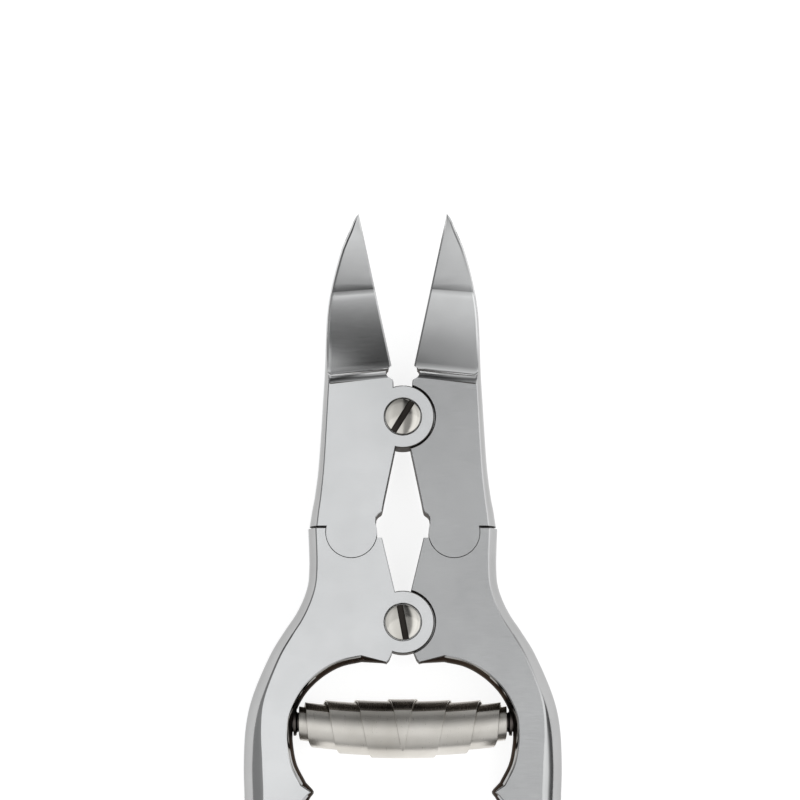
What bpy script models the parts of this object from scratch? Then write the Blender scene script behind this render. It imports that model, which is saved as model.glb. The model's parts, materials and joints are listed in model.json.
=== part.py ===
"""Double-action nail nipper: two jaws, two handles, pivot screws, link pins and a barrel spring.

The tool lies on its back. X runs across it, Y runs up it towards the blades and Z is its thickness.
The origin is on the handle pivot's axis, in the face that it lies on.
Sizes are in millimetres, and become metres where a mesh or an object is made.
Outlines are written for the right-hand side, where "out" is +X, and turned over for the left.
"""

import math

import bmesh
import bpy
from mathutils import Matrix, Vector

MM = 0.001

# Overall sizes
THICKNESS = 8.2
BLADE_LENGTH = 19.95
GRIP_REACH = 98.0
GRIP_SPREAD = 14.8

# Linkage: the handle pivot is at (0, 0), the jaw pivot above it, and a link pin on each side
PIVOT_SPACING = 26.35
LINK_OUT = 6.58
LINK_UP = 11.54
SHOULDER_RISE = 0.66
OPEN_ANGLE = 12.0

# Pivots and links
EAR_RADIUS = 4.0
TAIL_RADIUS = 3.27
TONGUE_THICKNESS = 1.9
SCREW_HEAD_RADIUS = 2.27
SCREW_HEAD_DEPTH = 1.3
SCREW_SHANK_RADIUS = 1.6
SCREW_DOME = 0.3
SLOT_WIDTH = 0.75
SLOT_DEPTH = 0.65
LINK_PIN_RADIUS = 1.25
PIN_COVER = 1.2

# Clearances
LAP_GAP = 0.2
EAR_GAP = 0.2
HOLE_GAP = 0.12
SHOULDER_GAP = 0.3
TAIL_GAP = 0.13
EDGE_GAP = 0.03

# Jaw
JAW_HALF_WIDTH = 10.06
NECK_HALF_WIDTH = 12.05
BASE_RISE = 2.7
JAW_ARCH = 0.65
NOTCH_ANGLE = 20.0
NOTCH_TURN = -180 - NOTCH_ANGLE

# Ground faces of a blade. Each "off" is the share of the thickness that a face loses, by the outer side and
# by the cutting edge
GRIND_SLANT = 1.0
GRIND_LEAD = 0.1
BAND_HEIGHT = 1.0
CREASE_SHARE = 0.48
CREASE_SLANT = 0.5
HOLLOW_STEPS = 5
OFF_AT_BASE = (0.073, 0.17)
OFF_AT_CREASE = (0.238, 0.32)
OFF_AT_TIP = (0.427, 0.454)
HOLLOW = 0.043
EDGE_THICKNESS = 0.3
EDGE_BEVEL_WIDTH = 1.5

# Handle
SIDE_ARCH = 1.05
BULGE_ARCH = 2.4
WALL_ARCH = 0.7
BULGE_WALL = 6.3
BAR_WIDTH = 6.3
LIP_DROP = 0.74
LIP_LENGTH = 0.65
GRIP_START = 28.0

# Barrel spring and its pegs. The spring's middle hangs this far below the lower ear
SPRING_LENGTH = 26.6
SPRING_RADIUS = 3.97
SPRING_SHEET = 0.18
SPRING_DROP = 9.6
SPRING_END_RISE = 0.9
PEG_RADIUS = 1.25
PEG_REACH = 2.2
PEG_COLLAR_RADIUS = 1.75
PEG_ROOT = 2.0
SEAT_GAP = 0.3
COLLAR_LENGTH = 0.5

ROUND_STEPS = 28
LEVELS = (-1.0, -0.82, -0.5, 0.0, 0.5, 0.82, 1.0)
ARCH_SPAN = 0.85
SHARP_TURN = 0.5
FAR = 3.0

MIDDLE = THICKNESS / 2
JAW_PIVOT = (0.0, PIVOT_SPACING)
HANDLE_PIVOT = (0.0, 0.0)
LINK = (LINK_OUT, LINK_UP)
SHOULDER_UP = LINK_UP + SHOULDER_RISE
SPRING_UP = -EAR_RADIUS - SPRING_DROP
BAY_HALF_WIDTH = SPRING_LENGTH / 2 + SEAT_GAP + COLLAR_LENGTH
BULGE_HALF_WIDTH = BAY_HALF_WIDTH + BULGE_WALL

STEEL = ("satin_steel", (0.70, 0.70, 0.69, 1.0), 0.28)
SCREW_STEEL = ("polished_steel", (0.74, 0.71, 0.66, 1.0), 0.16)
SPRING_STEEL = ("spring_steel", (0.66, 0.63, 0.57, 1.0), 0.36)


# Outlines: lists of (x, y, arch), where arch is how far the point draws in at the two flat faces


def arc(centre, radius, start, end, steps):
    """Points on a circle from one angle in degrees to another, with no arch."""
    points = []
    for step in range(steps + 1):
        angle = math.radians(start + (end - start) * step / steps)
        x = centre[0] + radius * math.cos(angle)
        y = centre[1] + radius * math.sin(angle)
        points.append((x, y, 0.0))
    return points


def smooth(points, steps):
    """A Catmull-Rom curve through the points, with this many steps between each two."""
    controls = [Vector(point) for point in points]
    controls = [2 * controls[0] - controls[1], *controls, 2 * controls[-1] - controls[-2]]
    curve = []
    for first, start, end, last in zip(controls, controls[1:], controls[2:], controls[3:]):
        for step in range(steps):
            t = step / steps
            bend = 2 * first - 5 * start + 4 * end - last
            twist = 3 * (start - end) + last - first
            curve.append(tuple(start + 0.5 * t * (end - first + t * (bend + t * twist))))
    curve.append(tuple(controls[-2]))
    return curve


def angle_to(centre, point):
    return math.degrees(math.atan2(point[1] - centre[1], point[0] - centre[0]))


def on_circle(centre, radius, x=None, y=None, above=True):
    """The point of a circle at this x, above or below its centre, or at this y, on its inner side."""
    if y is None:
        rise = math.sqrt(radius**2 - (x - centre[0]) ** 2)
        return (x, centre[1] + (rise if above else -rise), 0.0)
    return (centre[0] - math.sqrt(radius**2 - (y - centre[1]) ** 2), y, 0.0)


def ear(centre, bottom, top):
    """The lap disc's outline, from its foot round past the tool's axis to its head."""
    start = angle_to(centre, bottom)
    end = angle_to(centre, top) - 360
    return arc(centre, EAR_RADIUS, start, end, ROUND_STEPS)


BASE_UP = PIVOT_SPACING + EAR_RADIUS + BASE_RISE
TIP_UP = BASE_UP + BLADE_LENGTH


def edge_out(y):
    """How far out the cutting edge is at this height, with the jaws open."""
    lean = math.radians(OPEN_ANGLE)
    return (y - PIVOT_SPACING) * math.tan(lean) + EDGE_GAP / math.cos(lean)


def jaw_outline():
    tip_out = edge_out(TIP_UP)
    belly = JAW_HALF_WIDTH - tip_out
    # Share of the blade's length, share of the belly's width beyond the tip, and share of the arch
    blade = (
        (1, 0, 0),
        (0.962, 0.13, 0.1),
        (0.855, 0.345, 0.4),
        (0.748, 0.54, 0.6),
        (0.53, 0.8, 1),
        (0.32, 0.945, 1),
    )
    outer = [(tip_out + belly * out, BASE_UP + BLADE_LENGTH * up, JAW_ARCH * arch) for up, out, arch in blade]
    # Share of the way from the shoulder to the blade, share of the flare's width, and share of the arch
    body = (
        (1, 0, 1),
        (0.8, 0.115, 1),
        (0.4, 0.385, 1.1),
        (0.2, 0.63, 1.25),
        (0.1, 0.82, 1.4),
        (0, 0.975, 1.5),
    )
    shoulder = SHOULDER_UP + SHOULDER_GAP / 2
    flare = NECK_HALF_WIDTH - JAW_HALF_WIDTH
    rise = BASE_UP - shoulder
    outer += [
        (JAW_HALF_WIDTH + flare * out, shoulder + rise * up, JAW_ARCH * arch) for up, out, arch in body
    ]
    shoulder_end = math.degrees(math.asin((shoulder - LINK_UP) / TAIL_RADIUS))
    tail = arc(LINK, TAIL_RADIUS, shoulder_end, NOTCH_TURN, 24)
    # Steps in from the tail's notch and up the window's side
    notch = tail[-1]
    foot = on_circle(JAW_PIVOT, EAR_RADIUS, x=0.95, above=False)
    window = [
        (notch[0] - 0.1, notch[1] + 0.8, 0),
        (notch[0] - 0.75, notch[1] + 1.4, 0),
        (notch[0] - 1.1, notch[1] + 2.9, 0),
    ]
    head = on_circle(JAW_PIVOT, EAR_RADIUS, x=1.2)
    # The scoop between the ear and the cutting edge's foot
    relief = [
        (1.2, BASE_UP - 2.4, 0),
        (1.35, BASE_UP - 1.95, 0),
        (2.0, BASE_UP - 1.45, 0),
        (2.2, BASE_UP - 1.05, 0),
        (2.1, BASE_UP - 0.55, 0),
    ]
    base = [(edge_out(BASE_UP), BASE_UP, 0)]
    return smooth(outer, 3) + tail + window + ear(JAW_PIVOT, foot, head) + relief + base


def grip_centre(share):
    """The middle of the grip bar, from 0 at its start to 1 at its round end."""
    bend = 0.5 * share + 0.5 * share**1.6
    x = BULGE_HALF_WIDTH - BAR_WIDTH / 2 + GRIP_SPREAD * bend
    return Vector((x, -GRIP_START - (GRIP_REACH - BAR_WIDTH / 2 - GRIP_START) * share))


def grip_side(side, share, arch):
    """A point on the outer (1) or inner (-1) side of the grip bar."""
    ahead = grip_centre(share + 0.01) - grip_centre(max(share - 0.01, 0))
    across = Vector((-ahead.y, ahead.x)).normalized()
    point = grip_centre(share) + side * BAR_WIDTH / 2 * across
    return (point.x, point.y, arch)


def handle_outline():
    shoulder = SHOULDER_UP - SHOULDER_GAP / 2
    tongue = TAIL_RADIUS - LAP_GAP
    swell = BULGE_HALF_WIDTH - NECK_HALF_WIDTH
    # Share of the swell, height, and share of the way from the side's arch to the bulge's
    side = (
        (0.017, shoulder, 0),
        (0.003, 9.2, 0),
        (0, 7.2, 0),
        (0.017, 5.1, 0),
        (0.089, 3.1, 0.03),
        (0.214, 1.0, 0.08),
        (0.376, -1.0, 0.14),
        (0.6, -4.1, 0.22),
        (0.86, -9.2, 0.38),
        (0.971, -13.3, 0.7),
        (1.0, -18.3, 1),
        (0.986, -23.0, 1),
    )
    arch = BULGE_ARCH - SIDE_ARCH
    outer = [(NECK_HALF_WIDTH + swell * out, y, SIDE_ARCH + arch * more) for out, y, more in side]
    outer += [grip_side(1, share, 2.0) for share in (0, 0.25, 0.5, 0.75, 1)]
    end = grip_centre(1)
    turn = angle_to(end, grip_side(1, 1, 0))
    cap = [(x, y, 1.6) for x, y, _ in arc(end, BAR_WIDTH / 2, turn, turn - 180, 12)[1:-1]]
    inner = [grip_side(-1, share, 1.3) for share in (1, 0.75, 0.5, 0.25, 0.04)]
    inner += [(BAY_HALF_WIDTH - 0.95, SPRING_UP - 11.0, 1.0)]
    cusp = [(BAY_HALF_WIDTH - 2.75, SPRING_UP - 8.15, 0.3)]
    # The bay's wall, from the cusp round to its ceiling: steps in from its widest, and height above the spring
    bay = (
        (1.7, -6.8),
        (0.5, -4.4),
        (0.02, -1.8),
        (0, 0),
        (0.2, 1.6),
        (1.0, 3.5),
        (2.2, 5.2),
        (4.0, 6.8),
        (6.2, 8.0),
        (8.8, 8.6),
    )
    wall = [(BAY_HALF_WIDTH - inside, SPRING_UP + rise, WALL_ARCH) for inside, rise in bay]
    tooth = [(2.1, -EAR_RADIUS - 1.15, 0), (1.75, -EAR_RADIUS - 0.75, 0)]
    foot = on_circle(HANDLE_PIVOT, EAR_RADIUS, x=1.35, above=False)
    head = on_circle(HANDLE_PIVOT, EAR_RADIUS, x=1.0)
    lip_up = LINK_UP - LIP_DROP
    lip = [(LINK_OUT - TAIL_RADIUS - LIP_LENGTH, lip_up, 0)]
    tongue_end = on_circle(LINK, tongue, y=lip_up)
    start = angle_to(LINK, tongue_end) % 360
    stop = math.degrees(math.asin((shoulder - LINK_UP) / tongue))
    top = arc(LINK, tongue, start, stop, 18)
    return (
        smooth(outer, 3)
        + cap
        + smooth(inner, 2)
        + cusp
        + smooth(wall, 2)
        + tooth
        + ear(HANDLE_PIVOT, foot, head)
        + lip
        + top
    )


def drawn_in(outline, share):
    """The outline with each point moved inwards by this share of its arch. Each side moves by the smaller
    arch of its two ends, so that an arched corner slides along a plain side."""
    area = sum(a[0] * b[1] - b[0] * a[1] for a, b in zip(outline, outline[1:] + outline[:1]))
    inward = 1 if area > 0 else -1
    sides = []
    for point, after in zip(outline, outline[1:] + outline[:1]):
        along = (Vector(after[:2]) - Vector(point[:2])).normalized()
        sides.append((Vector((-along.y, along.x)) * inward, min(point[2], after[2]) * share))
    moved = []
    for point, last, ahead in zip(outline, sides[-1:] + sides[:-1], sides):
        (across, inset), (next_across, next_inset) = last, ahead
        turn = across.cross(next_across)
        if abs(turn) > SHARP_TURN:
            x = (inset * next_across.y - next_inset * across.y) / turn
            y = (across.x * next_inset - next_across.x * inset) / turn
            move = Vector((x, y))
        else:
            move = (across + next_across).normalized() * point[2] * share
        moved.append(Vector(point[:2]) + move)
    return moved


# Building


def clear_scene():
    for thing in list(bpy.data.objects):
        bpy.data.objects.remove(thing)
    for collection in list(bpy.data.collections):
        bpy.data.collections.remove(collection)


def new_collection(name):
    collection = bpy.data.collections.new(name)
    bpy.context.scene.collection.children.link(collection)
    return collection


def new_material(look):
    name, colour, roughness = look
    material = bpy.data.materials.new(name)
    material.use_nodes = True
    shader = material.node_tree.nodes["Principled BSDF"]
    shader.inputs["Base Color"].default_value = colour
    shader.inputs["Metallic"].default_value = 1.0
    shader.inputs["Roughness"].default_value = roughness
    material.diffuse_color = colour
    return material


def new_object(name, shape, collection, material=None):
    """An object from a bmesh in millimetres."""
    bmesh.ops.recalc_face_normals(shape, faces=shape.faces)
    bmesh.ops.scale(shape, vec=(MM, MM, MM), verts=shape.verts)
    mesh = bpy.data.meshes.new(name)
    shape.to_mesh(mesh)
    shape.free()
    mesh.shade_smooth()
    mesh.set_sharp_from_angle(angle=math.radians(28))
    if material:
        mesh.materials.append(material)
    made = bpy.data.objects.new(name, mesh)
    collection.objects.link(made)
    return made


def place(piece, at, parent=None):
    """Puts a piece at a point of the tool, in millimetres, and hangs it on its parent."""
    where = Vector(at) * MM
    if parent:
        piece.parent = parent
        where -= parent.matrix_world.translation
    piece.location = where
    bpy.context.view_layer.update()


def add_rings(shape, rings):
    """Joins rings of points with the same count into one skin, and closes its two ends."""
    skins = [[shape.verts.new(point) for point in ring] for ring in rings]
    for lower, upper in zip(skins, skins[1:]):
        for index in range(len(lower)):
            after = (index + 1) % len(lower)
            shape.faces.new((lower[index], lower[after], upper[after], upper[index]))
    shape.faces.new(skins[0])
    shape.faces.new(skins[-1])


def plate(name, outline, side, origin, material):
    """A flat piece of full thickness whose sides are arched between its two faces."""
    flat = 1 - math.sqrt(1 - ARCH_SPAN**2)
    rings = []
    for level in LEVELS:
        share = (1 - math.sqrt(1 - (ARCH_SPAN * level) ** 2)) / flat
        z = MIDDLE * (1 + level)
        rings.append([(side * (p.x - origin[0]), p.y - origin[1], z) for p in drawn_in(outline, share)])
    shape = bmesh.new()
    add_rings(shape, rings)
    return new_object(name, shape, PARTS, material)


def new_cutter(name, shape):
    cutter = new_object(name, shape, CUTTERS)
    cutter.hide_render = True
    cutter.display_type = "WIRE"
    return cutter


def disc_cutter(name, centre, radius, bottom, top):
    shape = bmesh.new()
    middle = Matrix.Translation((centre[0], centre[1], (bottom + top) / 2))
    bmesh.ops.create_cone(
        shape,
        cap_ends=True,
        segments=2 * ROUND_STEPS,
        radius1=radius,
        radius2=radius,
        depth=top - bottom,
        matrix=middle,
    )
    return new_cutter(name, shape)


def cut(piece, cutter):
    modifier = piece.modifiers.new(cutter.name, "BOOLEAN")
    modifier.operation = "DIFFERENCE"
    modifier.solver = "EXACT"
    modifier.object = cutter


def turned(name, profile, material):
    """A turned piece from (radius, height) points, which run down its outer side."""
    shape = bmesh.new()
    points = [shape.verts.new((radius, 0, z)) for radius, z in profile]
    for start, end in zip(points, points[1:]):
        shape.edges.new((start, end))
    piece = new_object(name, shape, PARTS, material)
    screw = piece.modifiers.new("turn", "SCREW")
    screw.steps = ROUND_STEPS
    screw.render_steps = ROUND_STEPS
    screw.use_merge_vertices = True
    screw.merge_threshold = 0.00001
    return piece


def mirrored(side, centre):
    return (side * centre[0], centre[1])


# Blades


def ground_rows():
    """Rows of a ground face, from the jaw's body to the tip: height by the outer side, height by the edge,
    and the thickness taken off at each."""
    crease = BASE_UP + BLADE_LENGTH * CREASE_SHARE
    start = BASE_UP - GRIND_LEAD - GRIND_SLANT
    at_base = [THICKNESS * share for share in OFF_AT_BASE]
    at_crease = [THICKNESS * share for share in OFF_AT_CREASE]
    at_tip = [THICKNESS * share for share in OFF_AT_TIP]
    above = -at_base[0]
    rows = [
        (start - 1.5 * BAND_HEIGHT, start + GRIND_SLANT - 0.9 * BAND_HEIGHT, above, above),
        (start, start + GRIND_SLANT, *at_base),
    ]
    for step in range(1, HOLLOW_STEPS):
        share = step / HOLLOW_STEPS
        sag = THICKNESS * HOLLOW * 4 * share * (1 - share)
        off = [base + (crest - base) * share + sag for base, crest in zip(at_base, at_crease)]
        up = start + (crease - start) * share
        rows.append((up, up + GRIND_SLANT + (CREASE_SLANT - GRIND_SLANT) * share, *off))
    rows.append((crease, crease + CREASE_SLANT, *at_crease))
    rows.append((TIP_UP + FAR, TIP_UP + FAR, *at_tip))
    return rows


def grind_cutter(name, side, front):
    """The metal ground off one face of a blade. The back is also bevelled up to the cutting edge."""
    rows = ground_rows()
    grid = []
    for outer_up, edge_up, outer_off, edge_off in rows:
        edge = edge_out(max(edge_up, BASE_UP))
        line = [(JAW_HALF_WIDTH + FAR, outer_up, outer_off)]
        if not front:
            remains = THICKNESS - edge_off - EDGE_THICKNESS
            line.append((edge + EDGE_BEVEL_WIDTH, edge_up, edge_off))
            line.append((edge, edge_up, max(remains, edge_off) if edge_up >= BASE_UP - 0.2 else edge_off))
            line.append((edge - FAR, edge_up, line[-1][2]))
        else:
            line.append((edge - FAR, edge_up, edge_off))
        grid.append(line)
    shape = bmesh.new()
    rings = []
    for line in grid:
        points = [(side * x, y, THICKNESS - off if front else off) for x, y, off in line]
        beyond = THICKNESS + FAR if front else -FAR
        lid = [(side * line[-1][0], line[-1][1], beyond), (side * line[0][0], line[0][1], beyond)]
        rings.append(points + lid)
    add_rings(shape, rings)
    bmesh.ops.triangulate(shape, faces=shape.faces)
    return new_cutter(name, shape)


# Pieces


def make_jaw(name, side, front_lap, material):
    jaw = plate(name, jaw_outline(), side, LINK, material)
    low, high = (-FAR, MIDDLE + LAP_GAP / 2) if front_lap else (MIDDLE - LAP_GAP / 2, THICKNESS + FAR)
    cut(jaw, disc_cutter(name + "_lap_recess", JAW_PIVOT, EAR_RADIUS + EAR_GAP, low, high))
    fork = TONGUE_THICKNESS / 2 + LAP_GAP / 2
    link = mirrored(side, LINK)
    cut(jaw, disc_cutter(name + "_fork_slot", link, TAIL_RADIUS + TAIL_GAP, MIDDLE - fork, MIDDLE + fork))
    cut(jaw, grind_cutter(name + "_front_grind", side, True))
    cut(jaw, grind_cutter(name + "_back_grind", side, False))
    add_pivot_hole(jaw, name, JAW_PIVOT, front_lap)
    add_link_hole(jaw, name, link)
    return jaw


def make_handle(name, side, front_lap, material):
    handle = plate(name, handle_outline(), side, HANDLE_PIVOT, material)
    low, high = (-FAR, MIDDLE + LAP_GAP / 2) if front_lap else (MIDDLE - LAP_GAP / 2, THICKNESS + FAR)
    cut(handle, disc_cutter(name + "_lap_recess", HANDLE_PIVOT, EAR_RADIUS + EAR_GAP, low, high))
    link = mirrored(side, LINK)
    tongue = TONGUE_THICKNESS / 2
    cheek = TAIL_RADIUS + TAIL_GAP
    cut(handle, disc_cutter(name + "_back_cheek", link, cheek, -FAR, MIDDLE - tongue))
    cut(handle, disc_cutter(name + "_front_cheek", link, cheek, MIDDLE + tongue, THICKNESS + FAR))
    add_pivot_hole(handle, name, HANDLE_PIVOT, front_lap)
    add_link_hole(handle, name, link)
    cut(handle, peg_cutter(name + "_collar_seat", side, PEG_COLLAR_RADIUS + HOLE_GAP, 0))
    cut(handle, peg_cutter(name + "_peg_hole", side, PEG_RADIUS + HOLE_GAP, PEG_ROOT))
    return handle


def add_pivot_hole(piece, name, centre, front_lap):
    radius = SCREW_SHANK_RADIUS + HOLE_GAP
    cut(piece, disc_cutter(name + "_pivot_hole", centre, radius, -FAR, THICKNESS + FAR))
    if front_lap:
        seat = THICKNESS - SCREW_HEAD_DEPTH - HOLE_GAP
        head = SCREW_HEAD_RADIUS + HOLE_GAP
        cut(piece, disc_cutter(name + "_head_seat", centre, head, seat, THICKNESS + FAR))


def add_link_hole(piece, name, centre):
    radius = LINK_PIN_RADIUS + HOLE_GAP
    cut(piece, disc_cutter(name + "_link_hole", centre, radius, -FAR, THICKNESS - PIN_COVER))


def make_screw(name, slot_angle, material):
    """A slotted pivot screw with a low domed head, whose end is flush with the back."""
    dome = []
    for step in range(5):
        share = step / 4
        rise = SCREW_DOME * math.sqrt(1 - 0.9 * share**2)
        dome.append((SCREW_HEAD_RADIUS * share, THICKNESS + rise))
    under = THICKNESS - SCREW_HEAD_DEPTH
    profile = dome + [
        (SCREW_HEAD_RADIUS, under),
        (SCREW_SHANK_RADIUS, under),
        (SCREW_SHANK_RADIUS, 0.2),
        (SCREW_SHANK_RADIUS - 0.2, 0),
        (0, 0),
    ]
    screw = turned(name, profile, material)
    slot = bmesh.new()
    bmesh.ops.create_cube(slot, size=1)
    bmesh.ops.scale(slot, vec=(SLOT_WIDTH, 4 * SCREW_HEAD_RADIUS, 2 * SLOT_DEPTH), verts=slot.verts)
    cutter = new_cutter(name + "_slot", slot)
    cutter.rotation_euler.z = math.radians(slot_angle)
    place(cutter, (0, 0, THICKNESS + SCREW_DOME), screw)
    cut(screw, cutter)
    return screw


def make_link_pin(name, material):
    """A plain pin, pressed in from the back and hidden by the front cheek."""
    length = THICKNESS - PIN_COVER - HOLE_GAP
    shape = bmesh.new()
    bmesh.ops.create_cone(
        shape,
        cap_ends=True,
        segments=ROUND_STEPS,
        radius1=LINK_PIN_RADIUS,
        radius2=LINK_PIN_RADIUS,
        depth=length,
        matrix=Matrix.Translation((0, 0, length / 2)),
    )
    pin = new_object(name, shape, PARTS, material)
    bevel = pin.modifiers.new("chamfer", "BEVEL")
    bevel.width = 0.2 * MM
    bevel.segments = 1
    return pin


def peg_up():
    """Height of the pegs' axis: the coil bows, and its ends are higher than its middle."""
    return SPRING_UP + SPRING_END_RISE


def peg_cutter(name, side, radius, depth):
    """A round cutter along X, from inside the spring bay to this depth in its wall."""
    inside = BAY_HALF_WIDTH - FAR
    shape = bmesh.new()
    bmesh.ops.create_cone(
        shape,
        cap_ends=True,
        segments=ROUND_STEPS,
        radius1=radius,
        radius2=radius,
        depth=FAR + depth,
        matrix=Matrix.Translation((side * (inside + (FAR + depth) / 2), peg_up(), MIDDLE))
        @ Matrix.Rotation(math.pi / 2, 4, "Y"),
    )
    return new_cutter(name, shape)


def make_peg(name, side, material):
    """A stud in the bay's wall whose nose holds one end of the coil. Its axis runs along X."""
    nose = COLLAR_LENGTH + SEAT_GAP + PEG_REACH
    profile = [
        (0, nose),
        (PEG_RADIUS - 0.35, nose),
        (PEG_RADIUS, nose - 0.5),
        (PEG_RADIUS, COLLAR_LENGTH),
        (PEG_COLLAR_RADIUS, COLLAR_LENGTH - 0.1),
        (PEG_COLLAR_RADIUS, 0.1),
        (PEG_RADIUS, 0.1),
        (PEG_RADIUS, HOLE_GAP - PEG_ROOT),
        (0, HOLE_GAP - PEG_ROOT),
    ]
    peg = turned(name, profile, material)
    peg.rotation_euler.y = -side * math.pi / 2
    return peg


# The sheet's turns in from its outer end, its share of the spring's half width there, and how far its outer
# skin is inside the barrel's
COIL_TURNS = (
    (0, 0.02, 0.0),
    (1, 0.34, 0.27),
    (2, 0.65, 0.57),
    (3, 0.91, 1.02),
    (4, 1.0, 1.77),
    (4.8, 1.0, 2.1),
)
TURN_STEPS = 18
TONGUE_ANGLE = 135.0


def coil_at(turns):
    """Half width and middle radius of the sheet, this many turns in from its outer end."""
    for near, far in zip(COIL_TURNS, COIL_TURNS[1:]):
        if turns <= far[0]:
            share = (turns - near[0]) / (far[0] - near[0])
            break
    width, inset = (a + (b - a) * share for a, b in zip(near[1:], far[1:]))
    return width * SPRING_LENGTH / 2, SPRING_RADIUS - SPRING_SHEET / 2 - inset


def make_spring(name, material):
    """One chevron-shaped sheet rolled up from its wide end, so that its tip is outermost."""
    shape = bmesh.new()
    across = (-1.0, -0.5, 0.0, 0.5, 1.0)
    rows = []
    for step in range(math.floor(COIL_TURNS[-1][0] * TURN_STEPS) + 1):
        inward = step / TURN_STEPS
        half, radius = coil_at(inward)
        angle = math.radians(TONGUE_ANGLE - 360 * inward)
        row = []
        for share in across:
            x = half * share
            bow = SPRING_END_RISE * (2 * x / SPRING_LENGTH) ** 2
            row.append(shape.verts.new((x, radius * math.cos(angle) + bow, radius * math.sin(angle))))
        rows.append(row)
    for row, after in zip(rows, rows[1:]):
        for index in range(len(across) - 1):
            shape.faces.new((row[index], row[index + 1], after[index + 1], after[index]))
    spring = new_object(name, shape, PARTS, material)
    solidify = spring.modifiers.new("sheet", "SOLIDIFY")
    solidify.thickness = SPRING_SHEET * MM
    solidify.offset = 0
    return spring


clear_scene()
PARTS = new_collection("nail_nipper")
CUTTERS = new_collection("cutters")
steel = new_material(STEEL)
screw_steel = new_material(SCREW_STEEL)
spring_steel = new_material(SPRING_STEEL)

right_handle = make_handle("right_handle", 1, False, steel)
left_handle = make_handle("left_handle", -1, True, steel)
place(left_handle, (0, 0, 0), right_handle)

right_jaw = make_jaw("right_jaw", 1, False, steel)
place(right_jaw, (*LINK, 0), right_handle)
left_jaw = make_jaw("left_jaw", -1, True, steel)
place(left_jaw, (-LINK_OUT, LINK_UP, 0), left_handle)

handle_screw = make_screw("handle_pivot_screw", 10.5, screw_steel)
place(handle_screw, (*HANDLE_PIVOT, 0), right_handle)
jaw_screw = make_screw("jaw_pivot_screw", -32.0, screw_steel)
place(jaw_screw, (*JAW_PIVOT, 0), right_jaw)

for pin_name, side, jaw in (("left_link_pin", -1, left_jaw), ("right_link_pin", 1, right_jaw)):
    place(make_link_pin(pin_name, steel), (side * LINK_OUT, LINK_UP, 0), jaw)

for peg_name, side, handle in (("left_spring_peg", -1, left_handle), ("right_spring_peg", 1, right_handle)):
    place(make_peg(peg_name, side, spring_steel), (side * BAY_HALF_WIDTH, peg_up(), MIDDLE), handle)

place(make_spring("barrel_spring", spring_steel), (0, SPRING_UP, MIDDLE), right_handle)
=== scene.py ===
"""Looks of the double-action nail nipper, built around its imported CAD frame.

The jaws, handles, screws, pegs and spring are remade here with fine curves, broken edges and hollow-ground
blades, each on the CAD body that it belongs to. Sizes are in millimetres and become metres where a mesh is
made. Outlines are written for the right-hand side, where "out" is +X, and turned over for the left.
"""

import json
import math

import bmesh
import bpy
import numpy as np
from mathutils import Matrix, Vector


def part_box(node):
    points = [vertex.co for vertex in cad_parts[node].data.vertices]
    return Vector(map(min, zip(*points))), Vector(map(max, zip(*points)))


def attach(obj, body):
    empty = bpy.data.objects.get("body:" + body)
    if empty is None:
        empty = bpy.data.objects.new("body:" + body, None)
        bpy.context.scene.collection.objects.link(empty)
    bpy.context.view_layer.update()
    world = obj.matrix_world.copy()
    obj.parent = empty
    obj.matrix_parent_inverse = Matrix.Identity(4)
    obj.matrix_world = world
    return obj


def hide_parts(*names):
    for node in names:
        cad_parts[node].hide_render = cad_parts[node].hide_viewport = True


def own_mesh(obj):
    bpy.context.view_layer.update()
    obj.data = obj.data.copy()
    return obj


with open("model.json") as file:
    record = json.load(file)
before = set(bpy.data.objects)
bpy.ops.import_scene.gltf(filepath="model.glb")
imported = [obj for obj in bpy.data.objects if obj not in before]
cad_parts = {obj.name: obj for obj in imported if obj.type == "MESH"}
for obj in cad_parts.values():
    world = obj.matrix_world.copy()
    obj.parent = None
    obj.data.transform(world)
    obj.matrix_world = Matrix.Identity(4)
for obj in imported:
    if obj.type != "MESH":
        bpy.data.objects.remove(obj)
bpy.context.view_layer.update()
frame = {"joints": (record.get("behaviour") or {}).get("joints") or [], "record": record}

MM = 0.001

# Sizes that the frame gives
JAW_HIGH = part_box("right_jaw")[1] / MM
HANDLE_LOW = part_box("right_handle")[0] / MM
SPRING_LOW, SPRING_HIGH = (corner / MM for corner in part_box("barrel_spring"))
JOINTS = {joint["name"]: joint for joint in frame["joints"]}
LINK_OUT, LINK_UP = (value / MM for value in JOINTS["right_jaw_link"]["pos_m"][:2])

# Forgings: thickness of the plates, pivots and shoulders
THICKNESS = 8.2
PIVOT_SPACING = 26.35
OPEN_ANGLE = 12.0
SHOULDER_RISE = 0.66
FACE_LEAN = 0.008
JAW_HALF_WIDTH = 10.06
NECK_HALF_WIDTH = 12.05
BASE_RISE = 2.7
JAW_ARCH = 0.65
NOTCH_ANGLE = 20.0
LIP_DROP = 0.74
LIP_LENGTH = 0.65
SIDE_ARCH = 1.05
BULGE_ARCH = 2.4
WALL_ARCH = 0.7
BULGE_WALL = 6.3
BAR_WIDTH = 6.3
GRIP_START = 28.0
GRIP_SPREAD = 14.78
GRIP_REACH = -HANDLE_LOW.y

# Laps, links and screws
EAR_RADIUS = 4.0
TAIL_RADIUS = 3.27
TONGUE_THICKNESS = 1.9
SCREW_HEAD_RADIUS = 2.27
SCREW_HEAD_DEPTH = 1.3
SCREW_SHANK_RADIUS = 1.6
SCREW_DOME = 0.28
SLOT_WIDTH = 0.75
SLOT_DEPTH = 0.65
LINK_PIN_RADIUS = 1.25
PIN_COVER = 1.2

# Gaps between pieces, and what edges have lost
LAP_GAP = 0.2
EAR_GAP = 0.17
HOLE_GAP = 0.1
SHOULDER_GAP = 0.3
TAIL_GAP = 0.06
EDGE_GAP = 0.03
EDGE_BREAK = 0.1
FINE_BREAK = 0.02

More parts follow.
